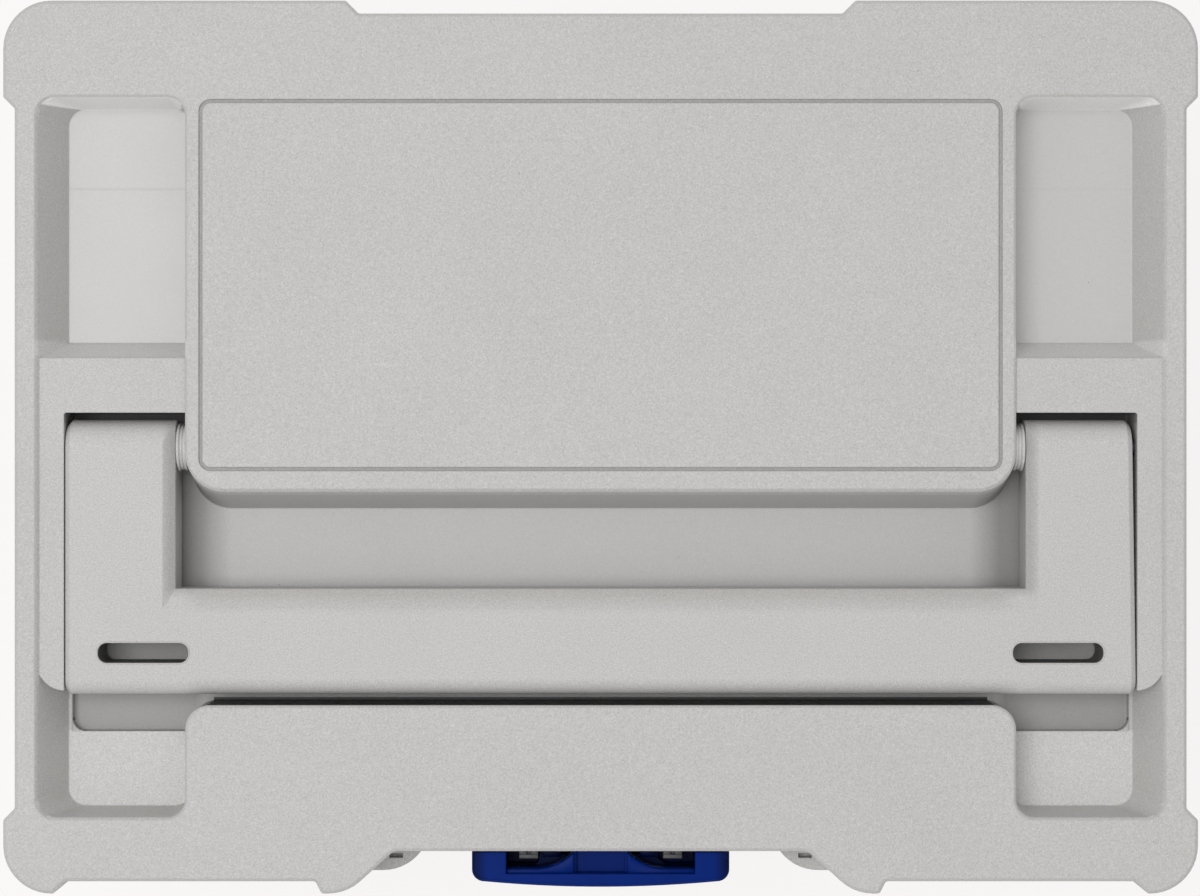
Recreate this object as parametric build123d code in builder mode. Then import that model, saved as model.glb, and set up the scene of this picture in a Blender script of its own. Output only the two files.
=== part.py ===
"""Stackable tool case with a folding lid handle, a turning front latch and a folding front handle.

Millimetres. X runs across the case, +Y points to the hinges at the rear and +Z is up.
The origin is at the middle of the case, on the plane that the feet stand on.
"""

import os
from math import hypot

from build123d import *

# Whole case
case_width = 396.0
case_depth = 296.0
case_height = 187.0
foot_height = 10.0
lid_height = 34.0
seam_gap = 0.4
lid_wall = 2.6
body_wall = 2.8
body_inset = 1.2

# Clearances
pin_clearance = 0.05
moving_gap = 0.6
side_gap = 0.3
overcut = 4.0

# Outline seen from above, with thicker wings at the corners
rear_corner_radius = 16.0
front_corner_radius = 16.0
side_step = 3.8
rear_step = 4.3
front_step = 4.1
rear_wing_width = 113.5
rear_wing_depth = 32.0
front_wing_width = 16.6
front_wing_depth = 24.4
step_radius = 1.4
top_edge = 1.0
mouth_edge = 0.8
mouth_reach = 1.4
base_edge = 1.0

# Front bay that the latch turns in
bay_depth = 14.1
lid_bay_half_width = 68.6
lid_bay_slope = 15.6
body_bay_half_width = 58.5
body_bay_slope = 6.5
body_shoulder_inset = 2.0
shoulder_reach = 8.3
shoulder_radius = 16.0
bay_corner_radius = 4.0

# Sunk areas of the lid's top
side_rim = 11.2
shelf_strip = 8.8
shelf_drop = 1.5
shelf_block_depth = 18.1
shelf_corner_radius = 9.5
shelf_nose = 4.8
pocket_depth = 18.0
pocket_side_slope = 7.6
pocket_end_slope = 2.0
pocket_ramp = 5.5
pocket_radius = 6.0
rear_rim = 32.1
front_rim = 25.2
well_depth = 22.0
well_radius = 0.8
well_step = 10.1
island_nose = 14.6
island_front_slope = 6.0
island_corner_radius = 13.0
front_panel_radius = 8.0
pad_side_margin = 4.6
pad_rear_margin = 32.8
pad_front_margin = 6.7
pad_radius = 4.0
pad_groove_width = 1.2
pad_groove_depth = 0.5
inner_rib = 1.8
inner_rib_height = 7.0
inner_rib_count = 5

# Lid handle
handle_top_drop = 0.3
handle_thickness = 18.2
handle_side_gap = 0.4
handle_rear_gap = 2.3
handle_front_gap = 3.5
handle_arm_width = 36.4
handle_reach = 82.1
handle_bar_width = 35.1
handle_end = 1.6
handle_flare = 1.3
handle_underside_radius = 4.0
handle_nose_radius = 5.0
handle_slope_depth = 3.0
handle_arm_slope = 3.9
handle_bar_slope = 6.6
handle_slot_length = 30.0
handle_slot_width = 6.6
handle_slot_inset = 26.0
handle_slot_setback = 13.9
handle_hollow_wall = 3.4
handle_hollow_depth = 12.0
handle_hollow_count = 8
handle_rib = 2.0
handle_pin_radius = 3.0
handle_pin_seat = 2.0
handle_boss_wall = 3.4
handle_bush_length = 3.2
handle_bush_radius = 8.0
handle_bush_step = 1.0

# Rear hinges
hinge_pin_radius = 2.0
hinge_knuckle_radius = 4.6
hinge_drop = 6.4
hinge_inset = 5.4
hinge_near = 105.0
hinge_body_knuckle = 10.0
hinge_lid_knuckle = 24.0
hinge_knuckle_gap = 0.5
hinge_pin_end = 0.8
hinge_web = 8.0
neck_gap = 0.5

# Body
tongue_height = 3.6
tongue_thickness = 2.4
tongue_gap = 0.8
rim_height = 7.0
foot_side_gap = 4.0
foot_end_gap = 3.0
foot_radius = 5.0
foot_draft = 0.8
grip_length = 112.0
grip_height = 22.0
grip_depth = 9.0
grip_drop = 12.0
grip_radius = 6.0
rail_height = 9.0
rail_depth = 5.0
rail_rise = 26.0
shoulder_slot_x = 70.0
shoulder_slot_y = -139.8
shoulder_slot_length = 4.6
shoulder_slot_width = 1.6
shoulder_slot_depth = 4.0

# Turning latch
latch_top_drop = 6.0
latch_arm_half = 42.9
latch_arm_height = 22.0
latch_pivot_drop = 42.0
latch_depth = 11.7
latch_bow = 2.2
latch_gap = 1.0
latch_arm_corner = 4.0
latch_front_wall = 4.4
latch_side_block = 11.4
latch_pocket_depth = 14.0
latch_boss_half = 8.0
latch_boss_drop = 6.0
latch_boss_rib = 1.4
latch_hole_flat = 22.0
latch_hole_radius = 18.2
latch_hole_floor = 1.6
latch_stem_half = 13.0
latch_stem_length = 31.0
latch_stem_depth = 7.6
latch_hub_radius = 15.0
latch_hub_depth = 9.0
latch_barrel_radius = 8.0
latch_edge = 1.0
catch_lug_near = 21.4
catch_lug_far = 28.0
catch_lug_height = 3.2
catch_lug_reach = 3.0
lock_rib_width = 2.1
bush_wall = 2.2
bush_flange_width = 2.4
bush_flange = 0.8
boss_wall = 3.0
boss_depth = 3.2
spring_thickness = 1.2
spring_gap = 0.3
spring_width = 2.0
washer_thickness = 1.2
washer_overlap = 3.0
screw_radius = 2.5
screw_length = 14.0
screw_head_radius = 4.6
screw_head_height = 3.0
screw_socket_radius = 1.7
screw_socket_depth = 1.6

# Front handle and its brackets
front_handle_rise = 84.0
front_handle_reach = 54.0
front_handle_arm = 10.0
front_handle_bar = 15.0
front_handle_thickness = 10.0
front_handle_corner_radius = 9.0
front_handle_inner_radius = 4.0
front_handle_inset = 6.5
front_handle_pin_radius = 2.0
bracket_side_gap = 0.6
bracket_width = 6.6
bracket_height = 26.0
bracket_plate = 4.0
bracket_plate_radius = 1.5
bracket_ear_wall = 3.6
bracket_pin_wall = 1.2
bracket_screw_spacing = 18.0
bracket_screw_radius = 1.5
bracket_screw_bite = 3.0
bracket_screw_head_radius = 3.0
bracket_screw_head_height = 1.8

# Places worked out from the driving sizes
half_width = case_width / 2
half_depth = case_depth / 2
seam_z = case_height - lid_height
lid_bottom = seam_z + seam_gap
bay_face = bay_depth - half_depth
body_bay_face = bay_face + body_inset / 2
pocket_outer = half_width - side_rim
well_outer = pocket_outer - shelf_strip
handle_outer = well_outer - handle_side_gap
handle_inner = handle_outer - handle_arm_width
island_half = handle_inner - side_gap - handle_bush_length
handle_radius = handle_thickness / 2
handle_axis_z = case_height - handle_top_drop - handle_radius
well_rear = handle_radius + handle_rear_gap
well_front = -(handle_reach + handle_front_gap)
platform_rear = well_front - well_step
shelf_front = well_front + shelf_nose
front_pocket_front = front_rim - half_depth
rear_pocket_front = well_rear + shelf_block_depth
rear_pocket_rear = half_depth - rear_rim
pocket_floor_outer = pocket_outer - pocket_side_slope
hinge_y = half_depth - hinge_inset
hinge_z = lid_bottom - hinge_drop
neck_face = hinge_y - hinge_knuckle_radius - neck_gap
neck_bottom = hinge_z - hypot(hinge_inset, hinge_drop) - 2 * moving_gap
body_side = half_width - body_inset - side_step
latch_top = case_height - latch_top_drop
latch_axis_z = latch_top - latch_pivot_drop
latch_back = bay_face - latch_gap
latch_arm_bottom = latch_top - latch_arm_height
catch_lug_bottom = lid_bottom + moving_gap
catch_lug_top = catch_lug_bottom + catch_lug_height
lug_middle = (catch_lug_near + catch_lug_far) / 2
bush_inner = latch_barrel_radius + pin_clearance
bush_outer = bush_inner + bush_wall
boss_rear = body_bay_face + body_wall + boss_depth
barrel_end = boss_rear + spring_thickness + spring_gap
front_handle_y = front_handle_inset - half_depth
bracket_outer = body_bay_half_width - bracket_side_gap
bracket_inner = bracket_outer - bracket_width
front_handle_outer = bracket_inner - side_gap
front_handle_inner = front_handle_outer - front_handle_arm


def case_outline(z, bay_half_width, bay_slope, inset, shrink=0.0):
    """The case seen from above at height z: corner wings, stepped edges and the front bay.

    Only the lid's own edge has all its corners rounded, the rest just the large ones.
    """
    side = half_width - inset
    end = half_depth - inset
    rear_wing_x = half_width - rear_wing_width
    rear_wing_y = half_depth - rear_wing_depth
    front_wing_y = front_wing_depth - half_depth
    front_wing_x = half_width - front_wing_width
    shoulder_x = lid_bay_half_width + lid_bay_slope + shoulder_reach
    bay_y = bay_face + inset / 2
    shoulder_y = (body_shoulder_inset if inset else 0) - end
    corners = [
        ((rear_wing_x - rear_step, end - rear_step), step_radius),
        ((rear_wing_x, end), step_radius),
        ((side, end), rear_corner_radius - inset),
        ((side, rear_wing_y), step_radius),
        ((side - side_step, rear_wing_y - side_step), step_radius),
        ((side - side_step, front_wing_y + side_step), step_radius),
        ((side, front_wing_y), step_radius),
        ((side, -end), front_corner_radius - inset),
        ((front_wing_x, -end), step_radius),
        ((front_wing_x - front_step, front_step - end), step_radius),
        ((shoulder_x + front_step / 2, front_step - end), step_radius),
        ((shoulder_x, shoulder_y), step_radius),
        ((bay_half_width + bay_slope, shoulder_y), shoulder_radius),
        ((bay_half_width, bay_y), bay_corner_radius),
    ]
    path = [(0, end - rear_step)] + [point for point, _ in corners] + [(0, bay_y)]
    smallest = bay_corner_radius if shrink or inset else 0
    radii = [radius if radius > smallest else 0 for _, radius in corners]
    with BuildSketch(Plane.XY.offset(z)) as outline:
        with BuildLine():
            FilletPolyline(*path, radius=radii)
            mirror(about=Plane.YZ)
        make_face()
        if shrink:
            offset(amount=-shrink, kind=Kind.INTERSECTION, mode=Mode.REPLACE)
    return outline.sketch


def rounded_patch(z, x_low, x_high, y_low, y_high, radius):
    """A rounded rectangle at height z, between two limits in X and two in Y."""
    with BuildSketch(Plane.XY.offset(z)) as patch:
        with Locations(((x_low + x_high) / 2, (y_low + y_high) / 2)):
            RectangleRounded(x_high - x_low, y_high - y_low, radius)
    return patch.sketch


def side_patch(x, y_low, y_high, z_low, z_high, radius):
    """A rounded rectangle on the plane across X at x, between two limits in Y and two in Z."""
    with BuildSketch(Plane.YZ.offset(x)) as patch:
        with Locations(((y_low + y_high) / 2, (z_low + z_high) / 2)):
            RectangleRounded(y_high - y_low, z_high - z_low, radius)
    return patch.sketch


def side_disc(x, y, z, radius, bore=0.0):
    """A disc, or a ring, on the plane across X at x."""
    with BuildSketch(Plane.YZ.offset(x)) as disc:
        with Locations((y, z)):
            Circle(radius)
            if bore:
                Circle(bore, mode=Mode.SUBTRACT)
    return disc.sketch


def front_disc(y, radius, bore=0.0):
    """A disc, or a ring, round the latch's axis on the plane across Y at y."""
    with BuildSketch(Plane.XZ.offset(-y)) as disc:
        with Locations((0, latch_axis_z)):
            Circle(radius)
            if bore:
                Circle(bore, mode=Mode.SUBTRACT)
    return disc.sketch


def handle_well(grow):
    """The well that the lid handle lies in, without the pad block and the front panel."""
    floor = case_height - well_depth - grow
    with BuildPart() as well:
        extrude(
            rounded_patch(
                floor,
                -well_outer - grow,
                well_outer + grow,
                platform_rear - grow,
                well_rear + grow,
                well_radius + grow,
            ),
            amount=well_depth + grow,
        )
        island_feet = [
            rounded_patch(
                z,
                grow - island_half,
                island_half - grow,
                grow - nose,
                rear_pocket_front + island_corner_radius,
                island_corner_radius - grow,
            )
            for z, nose in ((floor, island_nose + island_front_slope), (case_height, island_nose))
        ]
        loft(island_feet, ruled=True, mode=Mode.SUBTRACT)
        extrude(
            rounded_patch(
                floor,
                grow - island_half,
                island_half - grow,
                -half_depth,
                well_front - grow,
                front_panel_radius - grow,
            ),
            amount=well_depth + grow,
            mode=Mode.SUBTRACT,
        )
    return well.part


def lid_recess(grow):
    """The sunk areas of the lid's top as one solid, with each wall and floor moved out by grow."""
    top = case_height
    floor = case_height - pocket_depth - grow
    shelf_top = case_height - shelf_drop - grow
    well = handle_well(grow)
    with BuildPart() as recess:
        # One long trough between the rim and the pad block
        trough = [
            rounded_patch(
                z,
                island_half - grow,
                outer + grow,
                front_pocket_front + slope - grow,
                rear_pocket_rear - slope + grow,
                pocket_radius + grow,
            )
            for z, outer, slope in (
                (top, pocket_outer, 0),
                (floor, pocket_floor_outer, pocket_end_slope),
            )
        ]
        loft(trough, ruled=True)
        # Shelf that parts the trough into two pockets: rounded in front, with a ramp at the rear
        extrude(
            rounded_patch(
                floor - overcut,
                0,
                pocket_outer + side_gap - grow,
                shelf_front + grow,
                well_rear,
                shelf_corner_radius - grow,
            ),
            amount=shelf_top - floor + overcut,
            mode=Mode.SUBTRACT,
        )
        shelf_start = shelf_front + shelf_corner_radius + grow
        with BuildSketch(Plane.YZ):
            with BuildLine():
                Polyline(
                    (shelf_start, shelf_top),
                    (rear_pocket_front - grow, shelf_top),
                    (rear_pocket_front + pocket_ramp - grow, floor),
                    (shelf_start, floor),
                    close=True,
                )
            make_face()
        extrude(amount=pocket_outer + overcut, mode=Mode.SUBTRACT)
        mirror(about=Plane.YZ)
        add(well)
    return recess.part


def mouth_rings(top_face):
    """Outlines that a bevel round the mouth of the sunk areas is lofted between."""
    mouth = Face(top_face.inner_wires()[0])
    rings = []
    for drop, spread in ((0, mouth_edge), (mouth_reach, mouth_edge - mouth_reach)):
        with BuildSketch(Plane.XY.offset(case_height)) as ring:
            add(mouth)
            offset(amount=spread, kind=Kind.INTERSECTION, mode=Mode.REPLACE)
        rings.append(ring.sketch.moved(Location((0, 0, -drop))))
    return rings


def lid_cavity():
    """The hollow under the lid's skin."""
    sunk = lid_recess(lid_wall)
    with BuildPart() as cavity:
        extrude(
            case_outline(seam_z, lid_bay_half_width, lid_bay_slope, 0, shrink=lid_wall),
            amount=lid_height - lid_wall,
        )
        add(sunk, mode=Mode.SUBTRACT)
    return cavity.part


def knuckle_positions():
    """Start and length in X of the body's two knuckles and of the lid's knuckle between them."""
    lid_start = hinge_near + hinge_body_knuckle + hinge_knuckle_gap
    far_start = lid_start + hinge_lid_knuckle + hinge_knuckle_gap
    body = [(hinge_near, hinge_body_knuckle), (far_start, hinge_body_knuckle)]
    return body, (lid_start, hinge_lid_knuckle)


def build_lid_shell():
    """Moulded lid: skin over the hollow, pockets, well, pad, catch lugs and hinge knuckles."""
    sunk = lid_recess(0)
    hollow = lid_cavity()
    _, (knuckle_start, knuckle_length) = knuckle_positions()
    with BuildPart() as lid:
        extrude(
            case_outline(lid_bottom, lid_bay_half_width, lid_bay_slope, 0),
            amount=lid_height - seam_gap,
        )
        chamfer(lid.faces().sort_by(Axis.Z)[-1].edges(), top_edge)
        add(sunk, mode=Mode.SUBTRACT)
        loft(mouth_rings(lid.faces().sort_by(Axis.Z)[-1]), ruled=True, mode=Mode.SUBTRACT)
        add(hollow, mode=Mode.SUBTRACT)
        # Ribs that stiffen the pad from below
        rib_span = island_half - lid_wall
        with Locations((0, (rear_pocket_rear + well_rear) / 2, case_height - lid_wall)):
            with GridLocations(2 * rib_span / (inner_rib_count + 1), 0, inner_rib_count, 1):
                Box(
                    inner_rib,
                    rear_pocket_rear - well_rear,
                    inner_rib_height,
                    align=(Align.CENTER, Align.CENTER, Align.MAX),
                )
        # Bulkhead behind the body's rim, which closes the case at the hinges
        with Locations((0, neck_face + tongue_gap, lid_bottom)):
            Box(
                case_width - 2 * (side_step + lid_wall / 2),
                lid_wall,
                lid_height - seam_gap - lid_wall / 2,
                align=(Align.CENTER, Align.MIN, Align.MIN),
            )
        # Thin step round the pad
        pad_half = island_half - pad_side_margin
        pad_front = pad_front_margin - island_nose
        pad_rear = half_depth - pad_rear_margin
        groove_floor = case_height - pad_groove_depth
        extrude(
            rounded_patch(groove_floor, -pad_half, pad_half, pad_front, pad_rear, pad_radius)
            - rounded_patch(
                groove_floor,
                pad_groove_width - pad_half,
                pad_half - pad_groove_width,
                pad_front + pad_groove_width,
                pad_rear - pad_groove_width,
                pad_radius - pad_groove_width,
            ),
            amount=pad_groove_depth,
            mode=Mode.SUBTRACT,
        )
        # Catch lugs for the latch
        lug_y = bay_face - catch_lug_reach
        with Locations(*[(x, lug_y, catch_lug_bottom) for x in (-lug_middle, lug_middle)]):
            Box(
                catch_lug_far - catch_lug_near,
                catch_lug_reach + lid_wall / 2,
                catch_lug_height,
                align=(Align.CENTER, Align.MIN, Align.MIN),
            )
        # Hinge knuckles, bosses and bores for the pins, made on the right and mirrored
        with BuildSketch(Plane.YZ.offset(knuckle_start)):
            with Locations((hinge_y, hinge_z)):
                Circle(hinge_knuckle_radius)
            with Locations((hinge_y - moving_gap, hinge_z)):
                Rectangle(
                    hinge_inset,
                    hinge_drop + hinge_web,
                    align=(Align.MIN, Align.MIN),
                )
        lid_knuckle = extrude(amount=knuckle_length)
        boss = handle_pin_radius + handle_boss_wall
        inner_boss = extrude(
            side_disc(island_half - lid_wall, 0, handle_axis_z, boss), amount=-handle_pin_seat
        )
        outer_boss = extrude(
            side_disc(well_outer + lid_wall, 0, handle_axis_z, boss), amount=handle_pin_seat
        )
        mirror(lid_knuckle, about=Plane.YZ)
        mirror(inner_boss, about=Plane.YZ)
        mirror(outer_boss, about=Plane.YZ)
        extrude(
            side_disc(0, hinge_y, hinge_z, hinge_pin_radius + pin_clearance),
            amount=half_width,
            both=True,
            mode=Mode.SUBTRACT,
        )
        bore_start = island_half - lid_wall - handle_pin_seat
        bore_end = well_outer + lid_wall + handle_pin_seat
        for side in (-1, 1):
            extrude(
                side_disc(side * bore_start, 0, handle_axis_z, handle_pin_radius),
                amount=side * (bore_end - bore_start),
                mode=Mode.SUBTRACT,
            )
    return lid.part


def build_lid_handle():
    """U-shaped folding handle: a side profile run across the case, cut to the U seen from above."""
    bottom = handle_axis_z - handle_radius
    top = handle_axis_z + handle_radius
    bar_rear = handle_bar_width - handle_reach
    with BuildPart() as handle:
        with BuildSketch(Plane.YZ):
            with BuildLine():
                barrel = ThreePointArc((0, bottom), (handle_radius, handle_axis_z), (0, top))
                FilletPolyline(
                    barrel @ 1,
                    (-handle_reach, top),
                    (-handle_reach, bottom),
                    barrel @ 0,
                    radius=[handle_nose_radius, handle_underside_radius],
                )
            make_face()
        extrude(amount=handle_outer, both=True)
        # Ends that close in towards the pivot
        with BuildSketch(Plane.XY.offset(bottom)):
            with BuildLine():
                Polyline(
                    (handle_outer, -handle_reach),
                    (handle_outer - handle_flare, handle_radius),
                    (handle_outer + overcut, handle_radius),
                    (handle_outer + overcut, -handle_reach),
                    close=True,
                )
                mirror(about=Plane.YZ)
            make_face()
        extrude(amount=handle_thickness, mode=Mode.SUBTRACT)
        ends = handle.faces().sort_by(Axis.X)
        chamfer(ends[0].edges() + ends[-1].edges(), handle_end)
        # Opening of the U, with sloping edges on top
        for z, spread, setback in (
            (bottom, 0, 0),
            (top - handle_slope_depth, 0, 0),
            (top, handle_arm_slope, handle_bar_slope),
        ):
            with BuildSketch(Plane.XY.offset(z)):
                with Locations((0, bar_rear - setback)):
                    Rectangle(
                        2 * (handle_inner + spread),
                        case_depth,
                        align=(Align.CENTER, Align.MIN),
                    )
        loft(ruled=True, mode=Mode.SUBTRACT)
        # Slots through both ends of the bar
        slot_x = handle_outer - handle_slot_inset
        slot_y = handle_slot_setback - handle_reach
        with BuildSketch(Plane.XY.offset(bottom)):
            with Locations((-slot_x, slot_y), (slot_x, slot_y)):
                RectangleRounded(
                    handle_slot_length, handle_slot_width, handle_slot_width / 2 - moving_gap / 2
                )
        extrude(amount=handle_thickness, mode=Mode.SUBTRACT)
        # Ribbed hollow under the bar
        hollow_span = 2 * (slot_x - handle_slot_length / 2 - handle_hollow_wall)
        hollow_pitch = (hollow_span + handle_rib) / handle_hollow_count
        hollow_depth = handle_bar_width - 2 * handle_hollow_wall
        with BuildSketch(Plane.XY.offset(bottom)):
            with Locations((0, bar_rear - handle_bar_width / 2)):
                with GridLocations(hollow_pitch, 0, handle_hollow_count, 1):
                    Rectangle(hollow_pitch - handle_rib, hollow_depth)
        extrude(amount=handle_hollow_depth, mode=Mode.SUBTRACT)
        extrude(
            side_disc(0, 0, handle_axis_z, handle_pin_radius + pin_clearance),
            amount=handle_outer,
            both=True,
            mode=Mode.SUBTRACT,
        )
    return handle.part


def build_handle_pin(side):
    """Steel pivot pin of the lid handle, seated in a boss at each end."""
    start = island_half - lid_wall - handle_pin_seat
    end = well_outer + lid_wall + handle_pin_seat
    with BuildPart() as pin:
        extrude(
            side_disc(side * start, 0, handle_axis_z, handle_pin_radius), amount=side * (end - start)
        )
    return pin.part


def build_handle_bush(side):
    """Stepped ring on the pin, between the pad block and the handle's arm."""
    inner_length = handle_bush_length / 2
    small = handle_bush_radius - handle_bush_step
    with BuildPart() as bush:
        extrude(
            side_disc(side * island_half, 0, handle_axis_z, handle_bush_radius, handle_pin_radius),
            amount=side * inner_length,
        )
        extrude(
            side_disc(
                side * (island_half + inner_length), 0, handle_axis_z, small, handle_pin_radius
            ),
            amount=side * (handle_bush_length - inner_length),
        )
    return bush.part


def body_recess(grow):
    """What is sunk into the body's walls: hinge neck, side grips and rail grooves, moved out by grow."""
    grip_top = seam_z - grip_drop
    rail_bottom = foot_height + rail_rise
    with BuildPart() as recess:
        grip = side_patch(
            body_side - grip_depth - grow,
            -grip_length / 2 - grow,
            grip_length / 2 + grow,
            grip_top - grip_height - grow,
            grip_top + grow,
            grip_radius + grow,
        )
        extrude(grip, amount=grip_depth + grow + side_step + overcut)
        with Locations(
            (body_side - rail_depth - grow, front_wing_depth - half_depth - grow, rail_bottom - grow)
        ):
            Box(
                rail_depth + grow + side_step + overcut,
                case_depth,
                rail_height + 2 * grow,
                align=(Align.MIN, Align.MIN, Align.MIN),
            )
        mirror(about=Plane.YZ)
        with Locations((0, neck_face - grow, neck_bottom - grow)):
            Box(
                case_width,
                case_depth,
                case_height,
                align=(Align.CENTER, Align.MIN, Align.MIN),
            )
    return recess.part


def foot_patches(shrink):
    """The feet seen from above, each a little smaller than the pocket that it drops into."""
    inner = island_half + foot_side_gap + shrink
    outer = pocket_floor_outer - foot_side_gap - shrink
    spans = [
        (rear_pocket_front + pocket_ramp, rear_pocket_rear - pocket_end_slope),
        (front_pocket_front + pocket_end_slope, platform_rear),
    ]
    for low, high in spans:
        for side in (-1, 1):
            yield (
                min(side * inner, side * outer),
                max(side * inner, side * outer),
                low + foot_end_gap + shrink,
                high - foot_end_gap - shrink,
            )


def tongue_outline(z, shrink):
    """The raised rim inside the lid's skirt, stopped short of the hinges at the rear."""
    rear = neck_face + tongue_gap + lid_wall - shrink
    with BuildSketch(Plane.XY.offset(z)) as outline:
        add(case_outline(0, lid_bay_half_width, lid_bay_slope, 0, shrink=shrink))
        with Locations((0, rear)):
            Rectangle(
                case_width, case_depth, align=(Align.CENTER, Align.MIN), mode=Mode.SUBTRACT
            )
    return outline.sketch


def build_body_shell():
    """Lower case: walls and floor, rim, feet, grips, rail grooves, latch boss and hinge knuckles."""
    sunk = body_recess(0)
    sunk_inside = body_recess(body_wall)
    knuckles, _ = knuckle_positions()
    floor_top = foot_height + body_wall
    tongue_outer = lid_wall + tongue_gap
    with BuildPart() as hollow:
        extrude(
            case_outline(
                floor_top, body_bay_half_width, body_bay_slope, body_inset, shrink=body_wall
            ),
            amount=seam_z - rim_height - floor_top,
        )
        add(sunk_inside, mode=Mode.SUBTRACT)
        extrude(
            tongue_outline(seam_z - rim_height, tongue_outer + tongue_thickness),
            amount=rim_height + tongue_height + overcut,
        )
        for foot in foot_patches(body_wall):
            extrude(
                rounded_patch(body_wall, *foot, foot_radius - body_wall), amount=foot_height
            )
    with BuildPart() as body:
        extrude(
            case_outline(foot_height, body_bay_half_width, body_bay_slope, body_inset),
            amount=seam_z - foot_height,
        )
        chamfer(body.faces().sort_by(Axis.Z)[0].edges(), base_edge)
        extrude(tongue_outline(seam_z, tongue_outer), amount=tongue_height)
        add(sunk, mode=Mode.SUBTRACT)
        for low_x, high_x, low_y, high_y in foot_patches(0):
            foot_rings = [
                rounded_patch(
                    z, low_x + draft, high_x - draft, low_y + draft, high_y - draft, foot_radius
                )
                for z, draft in ((0, foot_draft), (foot_height + base_edge, 0))
            ]
            loft(foot_rings, ruled=True)
        add(hollow.part, mode=Mode.SUBTRACT)
        # Bearing boss of the latch inside the front wall
        extrude(
            front_disc(body_bay_face, bush_outer + boss_wall, bush_outer),
            amount=-(boss_rear - body_bay_face),
        )
        extrude(
            front_disc(body_bay_face, bush_outer),
            amount=-(boss_rear - body_bay_face),
            mode=Mode.SUBTRACT,
        )
        # Small slots in the tops of the front shoulders
        with Locations(*[(x, shoulder_slot_y, seam_z) for x in (-shoulder_slot_x, shoulder_slot_x)]):
            Box(
                shoulder_slot_length,
                shoulder_slot_width,
                shoulder_slot_depth,
                align=(Align.CENTER, Align.CENTER, Align.MAX),
                mode=Mode.SUBTRACT,
            )
        # Lugs under the bay for the latch of the case below
        lug_y = body_bay_face - catch_lug_reach
        with Locations(*[(x, lug_y, foot_height + base_edge) for x in (-lug_middle, lug_middle)]):
            Box(
                catch_lug_far - catch_lug_near,
                catch_lug_reach + body_wall / 2,
                catch_lug_height,
                align=(Align.CENTER, Align.MIN, Align.MIN),
            )
        # Holes for the screws of the front handle's brackets
        extrude(
            bracket_screw_discs(body_bay_face, bracket_screw_radius),
            amount=-(body_wall + overcut),
            mode=Mode.SUBTRACT,
        )
        # Hinge knuckles on the neck
        for side in (-1, 1):
            for start, length in knuckles:
                with BuildSketch(Plane.YZ.offset(side * start)):
                    with Locations((hinge_y, hinge_z)):
                        Circle(hinge_knuckle_radius)
                    with Locations((hinge_y, hinge_z)):
                        Rectangle(
                            hinge_y - neck_face + body_wall / 2,
                            2 * hinge_knuckle_radius,
                            align=(Align.MAX, Align.CENTER),
                        )
                extrude(amount=side * length)
        extrude(
            side_disc(0, hinge_y, hinge_z, hinge_pin_radius),
            amount=half_width,
            both=True,
            mode=Mode.SUBTRACT,
        )
    return body.part


def build_hinge_pin(side):
    """Steel hinge pin through three knuckles."""
    body, _ = knuckle_positions()
    start = body[0][0] - hinge_pin_end
    end = body[1][0] + body[1][1] + hinge_pin_end
    with BuildPart() as pin:
        extrude(side_disc(side * start, hinge_y, hinge_z, hinge_pin_radius), amount=side * (end - start))
    return pin.part


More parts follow.
